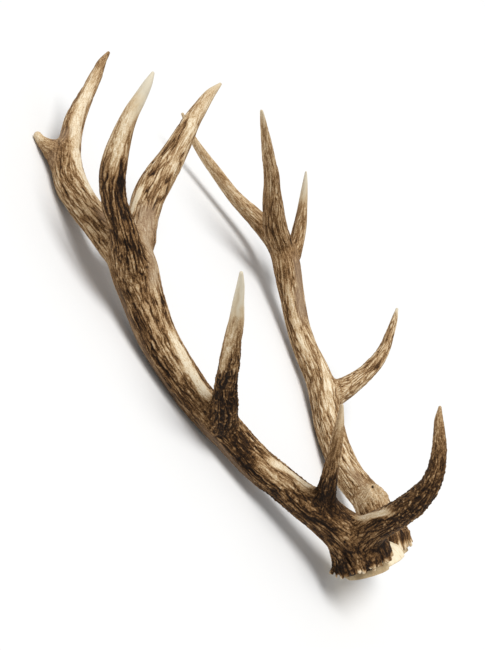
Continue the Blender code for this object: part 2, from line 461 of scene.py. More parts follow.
@dataclass(frozen=True)
class Carving:
    """How antler is grooved, pearled and stained, and given painted shade and a painted highlight where
    its patches ask.

    Cells are (across, across, along) in millimetres, and so are heights and depths.  The numbers that
    start with tone are how much each thing lightens the skin, or darkens it where it is below 0.
    """

    drift_cell: tuple = (38.0, 38.0, 60.0)
    drift: float = 3.5
    waver_cell: tuple = (6.5, 6.5, 9.0)
    waver: float = 1.3
    lump_cell: tuple = (30.0, 30.0, 48.0)
    lump: float = 0.9
    flute_cell: tuple = (11.0, 11.0, 120.0)
    flute: float = 0.6
    deep_cell: tuple = (7.5, 7.5, 85.0)
    deep_width: float = 0.15
    deep: float = 1.0
    groove_cell: tuple = (3.2, 3.2, 32.0)
    foot_groove_cell: tuple = (3.0, 3.0, 110.0)
    groove_width: float = 0.30
    groove: float = 0.8
    pearl_cell: tuple = (2.7, 2.7, 3.5)
    pearl: float = 1.2
    streak_cell: tuple = (4.5, 4.5, 55.0)
    stain_cell: tuple = (13.0, 13.0, 30.0)
    foot_reach: tuple = (125.0, 45.0)
    coronet_reach: tuple = (42.0, 15.0)
    end_reach: tuple = (6.0, -5.0)
    tone_pale: float = 0.40
    tone_dark: float = -0.13
    tone_streak: float = 0.07
    tone_stain: float = 0.06
    tone_flute: float = 0.16
    tone_ridge: float = 0.16
    tone_deep: float = -0.30
    tone_line: float = -0.32
    tone_bead: float = 0.34
    tone_between_beads: float = -0.15

    def carve(self, course: Course, local: Local) -> Skin:
        """Relief, stains, worn places, painted shade and painted highlight of one branch at the given
        places.

        Grooves are thin lines where stretched noise crosses zero, bent by a slow drift and a quick
        waver; near the foot of a beam they run longer and straighter.  Pearls are the tops of nearly
        round noise.  Tone is the branch's own lightness, lower in grooves and higher on ridges and
        pearls.  Ivory, polished places and grown ends lose their relief.

        Args:
            course: the branch.
            local: where the places stand against it.
        """
        branch, seed = course.branch, course.branch.seed * 31
        share = local.along / course.length
        place = np.column_stack((local.across, local.along))
        near_foot = branch.foot * smooth(*self.foot_reach, local.along)
        drift = self.drift * (1 - 0.5 * near_foot)
        waver = self.waver * branch.waver * (1 - 0.7 * near_foot)
        flow = place.copy()
        for axis in (0, 1):
            flow[:, axis] += drift * noise(place, self.drift_cell, seed + axis)
            flow[:, axis] += waver * noise(place, self.waver_cell, seed + 2 + axis)
        lump = noise(place, self.lump_cell, seed + 4)
        flute = noise(flow, self.flute_cell, seed + 5)
        deep = noise(flow, self.deep_cell, seed + 6)
        main = noise(flow, self.groove_cell, seed + 7)
        if branch.foot:
            main += near_foot * (noise(flow, self.foot_groove_cell, seed + 8) - main)
        bead = noise(flow, self.pearl_cell, seed + 9)
        streak = noise(flow, self.streak_cell, seed + 10)
        stain = noise(place, self.stain_cell, seed + 11)

        ivory = smooth(*branch.ivory, share + 0.07 * streak + 0.05 * stain)
        rough = 1 - 0.95 * ivory
        if not branch.broken:
            rough = rough * smooth(*self.end_reach, local.along - course.length)
        pale, dark, grey = self.marks(branch, local, streak, main)
        calm = 1 - np.maximum(0.85 * pale, 0.6 * grey)
        by_coronet = branch.foot * smooth(*self.coronet_reach, local.along)
        grooved = along_table(branch.groove, share) * rough * calm * (1 - 0.5 * by_coronet)
        pearled = along_table(branch.pearl, share) * rough * calm

        wider = 1 + 0.5 * dark
        deep_line = crease(deep, self.deep_width * wider) * smooth(-0.3, 0.3, streak + 0.5 * dark)
        line = crease(main, self.groove_width * wider)
        beads = smooth(-0.1, 0.6, bead)
        ridge = smooth(0.15, 0.7, np.abs(main))
        height = (
            self.lump * lump * (0.4 + 0.6 * rough)
            + self.flute * flute * rough * (1 + 1.6 * near_foot)
            - grooved * (self.deep * deep_line + self.groove * line)
            + self.pearl * pearled * (beads - 0.3)
        )
        tone = (
            along_table(branch.tone, share)
            + self.tone_pale * pale
            + self.tone_dark * dark
            + self.tone_streak * streak * (1 - 0.7 * pale)
            + self.tone_stain * stain
            + self.tone_flute * flute * near_foot
            + grooved * (self.tone_ridge * ridge + self.tone_deep * deep_line + self.tone_line * line)
            + pearled * (self.tone_bead * beads**2 + self.tone_between_beads)
        )
        gloss = np.clip(0.9 * ivory + 0.6 * pale + 0.3 * ridge * grooved, 0, 1)
        return Skin(height, tone, ivory, grey, gloss, flow)

    def marks(self, branch: Branch, local: Local, streak: np.ndarray, fine: np.ndarray) -> tuple:
        """How strongly the branch's pale, dark and grey marks lie on each place.

        A mark fades with the distance aside from its middle line and past its two ends, and its edge is
        frayed by the grain.

        Args:
            branch: whose marks.
            local: where the places stand against it.
            streak, fine: coarse and fine noise along the grain, at the same places.

        Returns:
            Three arrays of 0 to 1: pale, dark and grey.
        """
        masks = {mark: np.zeros(len(streak)) for mark in Mark}
        angle = np.arctan2(local.across[:, 1], local.across[:, 0])
        reach = np.linalg.norm(local.across, axis=1)
        for patch in branch.patches:
            t = (local.along - patch.start) / (patch.end - patch.start)
            middle = np.radians(patch.start_angle + (patch.end_angle - patch.start_angle) * t)
            aside = np.abs((angle - middle + np.pi) % math.tau - np.pi) * reach / patch.half
            ends = smooth(-0.12, 0.2, t) * smooth(-0.12, 0.2, 1 - t)
            felt = patch.strength * ends * smooth(1.4, 0.5, aside + 0.4 * streak + 0.25 * fine)
            masks[patch.mark] = np.maximum(masks[patch.mark], felt)
        return tuple(masks[mark] for mark in (Mark.PALE, Mark.DARK, Mark.GREY))


# ------------------------------------------------------------------------------------------ the antlers


@dataclass(frozen=True)
class Rods:
    """Straight rods that swell from one end to the other, with how pale each end is."""

    starts: np.ndarray
    ends: np.ndarray
    start_radii: np.ndarray
    end_radii: np.ndarray
    pale: np.ndarray


@dataclass(frozen=True)
class Coronet:
    """The burr round the foot of a beam: close-set fingers that flare down to a ragged, pearled rim.

    Attributes:
        fingers: how many stand round the beam.
        top, knee, rim: heights along the beam at which a finger starts, bends out and ends.
        flare, lobes, lobe_turn: how far the rim stands out, and how far and where it swells three times.
        droop, droop_angle: how much lower the rim hangs, and on which side, in degrees.
        thick: a finger's radius at its top, knee and end.
        melt: how softly fingers run into each other.
        paleness: the least and greatest paleness of the pearls at their ends.
        seed: its own draws.
    """

    fingers: int = 52
    top: float = 48.0
    knee: float = 19.0
    rim: float = 4.5
    flare: float = 4.6
    lobes: float = 2.6
    lobe_turn: float = 1.05
    droop: float = 4.0
    droop_angle: float = 170.0
    thick: tuple = (1.1, 1.7, 2.0)
    melt: float = 0.7
    paleness: tuple = (0.05, 1.0)
    seed: int = 5

    def rods(self, course: Course) -> Rods:
        """Each finger as two rods: from high on the beam to a knee, and from there out to its pearl."""
        draw = np.random.default_rng(self.seed)
        count = self.fingers
        angle = (np.arange(count) + draw.uniform(-0.3, 0.3, count)) * math.tau / count
        swerve = draw.uniform(-0.05, 0.05, count)
        height = self.top + draw.uniform(-12, 8, count)
        top = course.place(height, angle + swerve, draw.uniform(-1.6, -0.9, count))
        height = self.knee + draw.uniform(-3, 3, count)
        knee = course.place(height, angle, draw.uniform(-0.8, 0.4, count))
        lobed = self.lobes * np.sin(3 * angle - self.lobe_turn)
        reach = self.flare + lobed + draw.uniform(-1.8, 1.6, count)
        droop = self.droop * np.maximum(np.cos(angle - math.radians(self.droop_angle)), 0)
        rim = course.place(self.rim - droop + draw.uniform(-3.5, 3.0, count), angle - swerve, reach)
        sizes = [size * draw.uniform(0.8, 1.25, count) for size in self.thick]
        pale = draw.uniform(*self.paleness, count)
        return Rods(
            np.concatenate((top, knee)),
            np.concatenate((knee, rim)),
            np.concatenate((sizes[0], sizes[1])),
            np.concatenate((sizes[1], sizes[2])),
            np.concatenate((np.zeros(count), pale)),
        )


def rod_mesh(upper: np.ndarray, lower: np.ndarray, radius: float) -> tuple[np.ndarray, np.ndarray]:
    """A plain closed rod between two points, eight-sided."""
    way = (lower - upper) / np.linalg.norm(lower - upper)
    side = np.cross(way, (0.3, 0.5, 0.8))
    side /= np.linalg.norm(side)
    angle = np.arange(8) * math.tau / 8
    turn = radius * (np.cos(angle)[:, None] * side + np.sin(angle)[:, None] * np.cross(way, side))
    poles = np.array((upper - way * radius, lower + way * radius))
    return closed_rings(np.stack((upper + turn, lower + turn)), poles)


def joined_groups(edges: np.ndarray) -> np.ndarray:
    """Gives every point of a set of edges the smallest point number it is joined to.

    Each round hands the smaller number over every edge, then jumps along the numbers found so far.
    """
    group = np.arange(edges.max() + 1)
    while True:
        least = np.minimum(group[edges[:, 0]], group[edges[:, 1]])
        before = group.copy()
        np.minimum.at(group, edges[:, 0], least)
        np.minimum.at(group, edges[:, 1], least)
        group = group[group]
        if np.array_equal(group, before):
            return group


def remeshed(parts: list, voxel: float) -> tuple[np.ndarray, np.ndarray]:
    """Joins closed parts into one even skin of quads.

    Args:
        parts: (vertices, triangles) pairs in millimetres, which may pass through each other.
        voxel: the wanted spacing in millimetres.

    Returns:
        Vertices and quads of the joined skin.
    """
    offsets = np.cumsum([0] + [len(points) for points, _ in parts[:-1]])
    points = np.concatenate([points for points, _ in parts])
    faces = np.concatenate([faces + offset for (_, faces), offset in zip(parts, offsets)])
    mesh = mesh_of("lump", points, faces)
    thing = placed("lump", mesh)
    modifier = thing.modifiers.new("skin", "REMESH")
    modifier.mode = "VOXEL"
    modifier.voxel_size = voxel
    modifier.adaptivity = 0.0
    made = finished_mesh(thing)
    found = points_of(made)
    corners = np.empty(len(made.loops), np.int32)
    made.loops.foreach_get("vertex_index", corners)
    bpy.data.objects.remove(thing)
    for old in (mesh, made):
        bpy.data.meshes.remove(old)
    return found, corners.reshape(-1, 4)


def corner_normals(points: np.ndarray, quads: np.ndarray) -> np.ndarray:
    """A unit normal for every point: the sum of its quads' diagonal cross products."""
    first, second, third, fourth = (points[quads[:, corner]] for corner in range(4))
    facing = np.cross(third - first, fourth - second)
    sums = [np.bincount(quads.ravel(), np.repeat(part, 4), len(points)) for part in facing.T]
    summed = np.stack(sums, axis=1)
    return summed / np.maximum(np.linalg.norm(summed, axis=1), 1e-9)[:, None]


@dataclass(frozen=True)
class RestingPose:
    """How the deer's frame is laid down: pitched back on the beams, rolled a little, then shifted.

    Turns are in degrees and the shift in metres.
    """

    pitch: float = -61.23
    roll: float = -0.41
    shift: tuple = (0.3337, 0.0007, 0.0573)

    def matrix(self) -> Matrix:
        """The whole turn and shift, in metres."""
        pitch = Matrix.Rotation(math.radians(self.pitch), 4, "Y")
        roll = Matrix.Rotation(math.radians(self.roll), 4, "X")
        return Matrix.Translation(self.shift) @ roll @ pitch

    def lay(self, points: np.ndarray) -> np.ndarray:
        """Millimetres in the deer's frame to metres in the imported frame."""
        turn = np.array(self.matrix())
        return points * MM @ turn[:3, :3].T + turn[:3, 3]

    def turn(self, ways: np.ndarray) -> np.ndarray:
        """Turns directions without moving them."""
        return ways @ np.array(self.matrix())[:3, :3].T


POSE = RestingPose()


@dataclass(frozen=True)
class Antler:
    """One antler: its branches, the first of which is the beam, and its coronet.

    beam_cut is where along the beam its skin is parted in two, so that no piece is too heavy.
    """

    branches: tuple
    coronet: Coronet
    beam_cut: float = 250.0
    carving: Carving = field(default_factory=Carving)

    ROUGH_VOXEL = 2.6
    ROUGH_ROUNDS = 12
    SETTLE_ROUNDS = 4
    LONGEST_STEP = 1.5
    LEAST_SLOPE = 0.05
    END_FADE = 9.0
    END_LEAST = 0.02
    LEAST_SHARE = 0.004
    CORONET_REACH = 75.0
    # The first and last of these three paint shade in the gaps between the coronet's fingers.
    GAP_SHADE_REACH = (48.0, 40.0)
    PEARL_TONE = 0.80
    GAP_SHADE_TONE = -0.28

    def blended(self, courses: list, points: np.ndarray) -> tuple:
        """The webbed skin round all branches: -web log(sum exp(-distance / web)).

        Args:
            courses: the branches.
            points: places in the deer's frame.

        Returns:
            Distance, the way outwards, and for each branch the points near it with their pull and Local.
        """
        total = np.zeros(len(points))
        push = np.zeros((len(points), 3))
        near = []
        for course in courses:
            low, high = course.box()
            at = np.flatnonzero(np.all((points > low) & (points < high), axis=1))
            local = course.local(points[at])
            pull = np.exp(-local.distance / WEB)
            total[at] += pull
            push[at] += pull[:, None] * local.outward
            near.append((at, pull, local))
        total = np.maximum(total, 1e-9)
        return -WEB * np.log(total), push / total[:, None], near

    def with_fingers(
        self, rods: Rods, points: np.ndarray, distance: np.ndarray, outward: np.ndarray
    ) -> tuple:
        """Adds the coronet's fingers to the skin with their own, tighter web.

        Args:
            rods: the fingers.
            points: places in the deer's frame.
            distance, outward: the branches' own skin there.

        Returns:
            Distance, the way outwards, how pale a pearl each point lies in, and how deep it lies in a
            gap between fingers, where shade is painted.
        """
        middle = rods.ends.mean(axis=0)
        at = np.flatnonzero(np.linalg.norm(points - middle, axis=1) < self.CORONET_REACH)
        melt = self.coronet.melt
        total = np.exp(-np.maximum(distance[at], -20) / melt)
        push = total[:, None] * outward[at]
        pearl, felt = np.zeros(len(at)), np.zeros(len(at))
        sizes = rods.start_radii, rods.end_radii
        for start, end, thin, thick, pale in zip(rods.starts, rods.ends, *sizes, rods.pale):
            run = end - start
            share = np.clip((points[at] - start) @ run / run.dot(run), 0, 1)
            away = points[at] - start - share[:, None] * run
            reach = np.linalg.norm(away, axis=1)
            pull = np.exp(-np.clip(reach - thin - (thick - thin) * share, -20, 60) / melt)
            total += pull
            push += pull[:, None] * away / np.maximum(reach, 1e-6)[:, None]
            pearl += pull * pale * smooth(0.45, 1.0, share)
            felt += pull
        distance, outward = distance.copy(), outward.copy()
        paled, gap = np.zeros(len(points)), np.zeros(len(points))
        distance[at] = -melt * np.log(total)
        outward[at] = push / total[:, None]
        paled[at] = pearl / total
        far = np.linalg.norm(points[at] - middle, axis=1)
        # Painted shade: darkest deep in the gaps between fingers, fading away from the rim.
        gap[at] = (1 - felt / total) * smooth(*self.GAP_SHADE_REACH, far)
        return distance, outward, paled, gap

    def webbed(self, courses: list, parts: list) -> tuple[np.ndarray, np.ndarray]:
        """A rough skin that already fills the forks, as a closed part of points and triangles.

        Narrow forks are far from their web, so the points walk a long way and the skin is remade twice.
        """
        points, quads = remeshed(parts, self.ROUGH_VOXEL)
        for _ in range(2):
            for _ in range(self.ROUGH_ROUNDS):
                distance, outward, _ = self.blended(courses, points)
                points = self.stepped(points, distance, outward)
            points, quads = remeshed([(points, split(quads))], self.ROUGH_VOXEL)
        return points, split(quads)

    def stepped(self, points: np.ndarray, distance: np.ndarray, outward: np.ndarray) -> np.ndarray:
        """The points moved one short step along the slope towards the skin."""
        slope = np.maximum((outward**2).sum(axis=1), self.LEAST_SLOPE)
        reach = np.clip(distance / np.sqrt(slope), -self.LONGEST_STEP, self.LONGEST_STEP)
        return points - (reach / np.sqrt(slope))[:, None] * outward

    def settled(self, courses: list, rods: Rods, points: np.ndarray) -> tuple:
        """Moves the points onto the webbed skin, a few short steps along its slope.

        Returns:
            The points, and as at their last step: the way outwards, each branch's near points, how pale
                a pearl
            each lies in, and how deep in a gap between fingers, where shade is painted.
        """
        for _ in range(self.SETTLE_ROUNDS):
            distance, outward, near = self.blended(courses, points)
            distance, outward, paled, gap = self.with_fingers(rods, points, distance, outward)
            points = self.stepped(points, distance, outward)
        return points, outward, near, paled, gap

    def own_skin(self, course: Course, local: Local) -> np.ndarray:
        """How much of a branch's own grain a place takes: little past its ends, where it has no side."""
        before = smooth(-self.END_FADE, self.END_FADE + 0.5 * course.branch.sunk, local.along)
        after = smooth(self.END_FADE, -self.END_FADE, local.along - course.length)
        return self.END_LEAST + (1 - self.END_LEAST) * before * after

    def carved(self) -> tuple:
        """The finished skin of the whole antler in the deer's frame.

        Returns:
            Points, quads, colours of stains, worn places and painted shade, grain places and each
            point's branch number.
        """
        courses = [Course(branch) for branch in self.branches]
        rods = self.coronet.rods(courses[0])
        parts = [course.rough_tube() for course in courses]
        radii = (rods.start_radii + rods.end_radii) / 2
        parts.append(self.webbed(courses, parts))
        parts += [rod_mesh(*rod) for rod in zip(rods.starts, rods.ends, radii)]
        points, quads = remeshed(parts, SKIN_VOXEL)
        points, outward, near, paled, gap = self.settled(courses, rods, points)
        outward /= np.linalg.norm(outward, axis=1)[:, None]
        fields = np.zeros((5, len(points)))
        grain = np.zeros((len(points), 3))
        strongest = np.zeros(len(points))
        owner = np.zeros(len(points), int)
        weights = [
            pull * self.own_skin(course, local) for course, (_, pull, local) in zip(courses, near)
        ]
        total = np.full(len(points), 1e-12)
        for weight, (at, _, _) in zip(weights, near):
            total[at] += weight
        for number, (course, weight, (at, _, local)) in enumerate(zip(courses, weights, near)):
            share = weight / total[at]
            felt = share > self.LEAST_SHARE
            at, share = at[felt], share[felt]
            skin = self.carving.carve(course, local.chosen(felt))
            fields[:, at] += share * skin.numbers()
            wins = share > strongest[at]
            strongest[at[wins]] = share[wins]
            owner[at[wins]] = number
            grain[at[wins]] = skin.flow[wins]
        height, *wear_and_shade = fields
        # Paler pearl ends, and painted shade in the gaps between the coronet's fingers.
        wear_and_shade[0] = wear_and_shade[0] + self.PEARL_TONE * paled + self.GAP_SHADE_TONE * gap
        points = points + height[:, None] * outward
        beam_top = (owner == 0) & (grain[:, 2] > self.beam_cut)
        owner[beam_top] = len(courses)
        return points, quads, np.clip(np.array(wear_and_shade).T, 0, 1), grain, owner

    def parted(self) -> list:
        """Builds one closed piece for each branch, and two for the beam.

        Returns:
            (node, object, finish) for each piece.
        """
        points, quads, wear_and_shade, grain, owner = self.carved()
        normals = corner_normals(points, quads)
        names = [branch.node for branch in self.branches] + [self.branches[0].node]
        corners = [(owner[quads] == number).sum(axis=1) for number in range(len(names))]
        quad_owner = np.stack(corners, axis=1).argmax(axis=1)
        made = []
        for number, node in enumerate(names):
            part = ""
            if node == self.branches[0].node:
                part = "_lower" if number == 0 else "_upper"
            chosen = quads[quad_owner == number]
            finish = finish_of(node)
            thing = closed_piece(f"{node}{part}_antler", points, chosen, normals, wear_and_shade, grain, finish)
            made.append((node, thing, finish))
        return made


def closed_piece(
    name: str,
    points: np.ndarray,
    quads: np.ndarray,
    normals: np.ndarray,
    wear_and_shade: np.ndarray,
    grain: np.ndarray,
    finish: "AntlerFinish",
) -> bpy.types.Object:
    """Makes an object of some of a skin's quads, and closes each open rim with a fan to a point inside.

    A rim edge is one whose reverse belongs to no quad of the piece.

    Args:
        name: the piece's name.
        points: all the skin's points, millimetres in the deer's frame.
        quads: the piece's own quads.
        normals: a normal for every point of the skin, so that neighbours shade as one.
        wear_and_shade: the four finish numbers of every point; the tone holds painted shade as well as
            stains.
        grain: the grain place of every point.
        finish: what the piece is made of.
    """
    edges = np.stack((quads, np.roll(quads, -1, axis=1)), axis=-1).reshape(-1, 2)
    key, reverse = (edges[:, a] * len(points) + edges[:, 1 - a] for a in (0, 1))
    rim = edges[~np.isin(key, reverse)]
    used = np.unique(quads)
    triangles, middles = np.empty((0, 3), int), np.empty((0, 3))
    if len(rim):
        ring_points, compact = np.unique(rim, return_inverse=True)
        compact = compact.reshape(-1, 2)
        group = joined_groups(compact)
        heads, ring = np.unique(group[compact[:, 0]], return_inverse=True)
        sunk = points[ring_points] - CAP_DEPTH * normals[ring_points]
        middles = np.array([sunk[group == head].mean(axis=0) for head in heads])
        triangles = np.column_stack((rim[:, 1], rim[:, 0], len(points) + ring))
    order = np.full(len(points) + len(middles), -1)
    order[used] = np.arange(len(used))
    order[len(points) :] = len(used) + np.arange(len(middles))
    place = np.concatenate((points[used], middles))
    faces = order[quads].tolist() + order[triangles].tolist()
    mesh = mesh_of(name, POSE.lay(place), faces)
    mesh.shade_smooth()
    spare = np.tile((0.0, 0.0, 1.0), (len(middles), 1))
    mesh.normals_split_custom_set_from_vertices(np.concatenate((POSE.turn(normals[used]), spare)))
    for label, values in ((WEAR_AND_SHADE, wear_and_shade), (GRAIN, grain)):
        hidden = np.zeros((len(middles), values.shape[1]))
        give_numbers(mesh, label, np.concatenate((values[used], hidden)))
    mesh.materials.append(finish.material())
    return placed(name, mesh)


# --------------------------------------------------------------------------------------------- finishes


class Value:
    """A number socket of a material, which sums and products can be written with."""

    def __init__(self, recipe: "Recipe", socket: bpy.types.NodeSocket) -> None:
        """Wraps one output socket."""
        self.recipe = recipe
        self.socket = socket

    def joined(self, operation: str, first: "Value | float", second: "Value | float") -> "Value":
        """One Math node."""
        node = self.recipe.node("ShaderNodeMath", {"operation": operation}, {0: first, 1: second})
        return Value(self.recipe, node.outputs[0])

    def __add__(self, other: "Value | float") -> "Value":
        """self + other."""
        return self.joined("ADD", self, other)

    __radd__ = __add__

    def __sub__(self, other: "Value | float") -> "Value":
        """self - other."""
        return self.joined("SUBTRACT", self, other)

    def __rsub__(self, other: "Value | float") -> "Value":
        """other - self."""
        return self.joined("SUBTRACT", other, self)

    def __mul__(self, other: "Value | float") -> "Value":
        """self * other."""
        return self.joined("MULTIPLY", self, other)

    __rmul__ = __mul__

    def magnitude(self) -> "Value":
        """Its size without its sign."""
        return self.joined("ABSOLUTE", self, 0.0)

    def least(self, floor: float) -> "Value":
        """Never below the floor."""
        return self.joined("MAXIMUM", self, floor)


class Recipe:
    """Builds one material's nodes."""

    def __init__(self, name: str) -> None:
        """Starts an empty material that ends in a Principled shader."""
        self.material = bpy.data.materials.new(name)
        self.material.use_nodes = True
        self.tree = self.material.node_tree
        self.shader = self.tree.nodes["Principled BSDF"]

    def node(
        self, kind: str, settings: dict | None = None, inputs: dict | None = None
    ) -> bpy.types.Node:
        """Adds a node.

        Args:
            kind: the node's type.
            settings: its own properties, set first; a colour ramp's stops go under "stops".
            inputs: for each socket, by name or number, a Value, a socket or a plain value.
        """
        node = self.tree.nodes.new(kind)
        for key, setting in (settings or {}).items():
            if key == "stops":
                self.set_stops(node.color_ramp, setting)
            else:
                setattr(node, key, setting)
        self.feed(node, inputs or {})
        return node

    def feed(self, node: bpy.types.Node, inputs: dict) -> None:
        """Links or sets a node's sockets."""
        for key, value in inputs.items():
            value = value.socket if isinstance(value, Value) else value
            if isinstance(value, bpy.types.NodeSocket):
                self.tree.links.new(value, node.inputs[key])
            else:
                node.inputs[key].default_value = value

    def set_stops(self, ramp: bpy.types.ColorRamp, stops: tuple) -> None:
        """Puts (place, colour) stops on a ramp."""
        while len(ramp.elements) < len(stops):
            ramp.elements.new(0.5)
        for element, (place, colour) in zip(ramp.elements, stops):
            element.position = place
            element.color = (*colour, 1.0)

    def noise(self, vector: bpy.types.NodeSocket, scale: float, detail: float = 2.0) -> Value:
        """Blender's noise, 0 to 1 about 0.5."""
        inputs = {"Vector": vector, "Scale": scale, "Detail": detail}
        return Value(self, self.node("ShaderNodeTexNoise", None, inputs).outputs["Fac"])

    def stretched(self, vector: bpy.types.NodeSocket, by: tuple) -> bpy.types.NodeSocket:
        """A vector with each part multiplied."""
        inputs = {0: vector, 1: by}
        return self.node("ShaderNodeVectorMath", {"operation": "MULTIPLY"}, inputs).outputs[0]

    def ramp(self, factor: Value, stops: tuple) -> bpy.types.NodeSocket:
        """A colour for each value of the factor."""
        return self.node("ShaderNodeValToRGB", {"stops": stops}, {0: factor}).outputs[0]

    def mixed(self, factor: Value, first: object, second: object) -> bpy.types.NodeSocket:
        """A blend from the first colour to the second."""
        inputs = {0: factor, 6: first, 7: second}
        return self.node("ShaderNodeMix", {"data_type": "RGBA"}, inputs).outputs[2]

    def bump(self, height: Value, distance: float, strength: float) -> bpy.types.NodeSocket:
        """A normal tilted by a height in metres."""
        inputs = {"Height": height, "Distance": distance, "Strength": strength}
        return self.node("ShaderNodeBump", None, inputs).outputs[0]


def srgb(red: int, green: int, blue: int) -> tuple[float, float, float]:
    """A screen colour of 0 to 255 as linear light."""
    shares = np.array((red, green, blue)) / 255
    linear = np.where(shares <= 0.04045, shares / 12.92, ((shares + 0.055) / 1.055) ** 2.4)
    return tuple(float(part) for part in linear)


@dataclass(frozen=True)
class AntlerFinish:
    """Stained antler: black-brown grooves, tan ridges, grey worn places and bare ivory tips, with
    painted shade and a painted highlight carried in its tone and grey.

    Streaks and veins follow the grain and specks do not; a tone number is how much each moves the stain.
    """

    slot: str
    stains: tuple = (
        (0.00, srgb(20, 10, 3)),
        (0.14, srgb(44, 27, 11)),
        (0.30, srgb(84, 58, 31)),
        (0.46, srgb(128, 96, 61)),
        (0.62, srgb(167, 136, 98)),
        (0.76, srgb(197, 171, 134)),
        (0.90, srgb(219, 199, 167)),
        (1.00, srgb(234, 220, 193)),
    )
    tip: tuple = ((0.0, srgb(206, 186, 152)), (0.5, srgb(213, 198, 168)), (1.0, srgb(214, 204, 182)))
    # Grey-brown of worn places, also laid as painted shade along the right beam's lower side.
    rubbed_and_shade_grey: tuple = (*srgb(142, 121, 101), 1.0)
    shine: float = 0.12
    roughness: float = 0.62
    polish: float = 0.30
    streak_squeeze: tuple = (1.0, 1.0, 0.13)
    streak_scale: float = 0.75
    streak_tone: float = 0.85
    vein_squeeze: tuple = (0.75, 0.75, 0.05)
    vein_scale: float = 1.0
    vein_tone: float = 0.20
    speck_scale: float = 620.0
    speck_tone: float = 0.55
    tone_shift: float = 0.03
    bump_height: float = 0.0008
    bump_strength: float = 0.6

    def material(self) -> bpy.types.Material:
        """The material, made once for each slot."""
        name = f"{self.slot}_finish"
        return bpy.data.materials.get(name) or self.mixed_material(name)

    def mixed_material(self, name: str) -> bpy.types.Material:
        """Tone plus fine streaks picks the stain; grey and ivory lie over it.  Tone and grey carry
        painted shade as well as stains and worn places.
        """
        recipe = Recipe(name)
        wear_and_shade = recipe.node("ShaderNodeAttribute", {"attribute_name": WEAR_AND_SHADE})
        parts = recipe.node("ShaderNodeSeparateColor", None, {0: wear_and_shade.outputs["Color"]}).outputs
        tone, ivory, grey = (Value(recipe, socket) for socket in parts)
        gloss = Value(recipe, wear_and_shade.outputs["Alpha"])
        grain = recipe.node("ShaderNodeAttribute", {"attribute_name": GRAIN}).outputs["Vector"]
        streak = recipe.noise(recipe.stretched(grain, self.streak_squeeze), self.streak_scale, 3.0)
        place = recipe.node("ShaderNodeTexCoord").outputs["Object"]
        speck = recipe.noise(place, self.speck_scale, 2.0)
        vein = recipe.noise(recipe.stretched(grain, self.vein_squeeze), self.vein_scale, 1.0)
        line = (1 - ((vein - 0.5) * 12).magnitude()).least(0.0) * ((streak - 0.46) * 7).least(0.0)
        fine = (streak - 0.5) * self.streak_tone + (speck - 0.5) * self.speck_tone
        fine = fine - line * (1 - gloss) * self.vein_tone + self.tone_shift
        stained = recipe.ramp(tone + fine * (1 - ivory * 0.8), self.stains)
        # Grey lies over the stain: worn places, and painted shade along the right beam's lower side.
        rubbed_and_shade_grey = recipe.mixed(grey * 0.75, stained, self.rubbed_and_shade_grey)
        bare = recipe.ramp(ivory + fine * 0.9, self.tip)
        colour = recipe.mixed(ivory, rubbed_and_shade_grey, bare)
        roughness = self.roughness - gloss * self.polish + (speck - 0.5) * 0.2
        height = streak * 0.6 + speck * 0.4 - line * 0.5
        normal = recipe.bump(height, self.bump_height, self.bump_strength)
        inputs = {"Base Color": colour, "Roughness": roughness, "Normal": normal}
        recipe.feed(recipe.shader, inputs | {"Specular IOR Level": self.shine})
        return recipe.material


@dataclass(frozen=True)
class BoneFinish:
    """Boiled skull bone: cream with yellow-brown stains, darker and olive towards the coronets."""

    slot: str = "skull_bone"
    stains: tuple = (
        (0.00, srgb(62, 50, 34)),
        (0.30, srgb(112, 92, 64)),
        (0.55, srgb(170, 146, 108)),
        (0.75, srgb(214, 194, 156)),
        (1.00, srgb(238, 226, 198)),
    )
    blotch_scale: float = 70.0
    pore_scale: float = 900.0
    hole_scale: float = 520.0
    score_squeeze: tuple = (1.0, 0.04, 1.0)
    score_scale: float = 620.0
    bump_height: float = 0.0012
    bump_strength: float = 0.45

    def material(self) -> bpy.types.Material:
        """Tone plus blotches and pores picks the stain; the cut shows saw lines and spongy holes."""
        recipe = Recipe(f"{self.slot}_finish")
        wear_and_shade = recipe.node("ShaderNodeAttribute", {"attribute_name": WEAR_AND_SHADE})
        parts = recipe.node("ShaderNodeSeparateColor", None, {0: wear_and_shade.outputs["Color"]}).outputs
        tone, sawn = Value(recipe, parts[0]), Value(recipe, parts[1])
        place = recipe.node("ShaderNodeTexCoord").outputs["Object"]
        blotch = recipe.noise(place, self.blotch_scale, 4.0)
        pore = recipe.noise(place, self.pore_scale, 2.0)
        scored = recipe.stretched(place, self.score_squeeze)
        score = (recipe.noise(scored, self.score_scale, 2.0) - 0.5) * sawn
        hole = ((recipe.noise(place, self.hole_scale, 1.0) - 0.57) * 7).least(0.0) * sawn
        mottle = (blotch - 0.5) * 0.5 + (pore - 0.5) * 0.25
        colour = recipe.ramp(tone + mottle + score * 0.5 - hole * 0.22, self.stains)
        height = blotch * 0.5 + pore * 0.5 + score * 0.9 - hole
        normal = recipe.bump(height, self.bump_height, self.bump_strength)
        inputs = {"Base Color": colour, "Roughness": 0.7 - (blotch - 0.5) * 0.3, "Normal": normal}
        recipe.feed(recipe.shader, inputs)
        return recipe.material


def finish_of(node: str) -> AntlerFinish:
    """The finish of an antler node, by its kind."""
    if node.endswith("_beam"):
        return AntlerFinish("antler_beam")
    return AntlerFinish("broken_antler" if node.endswith("_stump") else "antler_tine")


# ------------------------------------------------------------------------------------------ skull plate


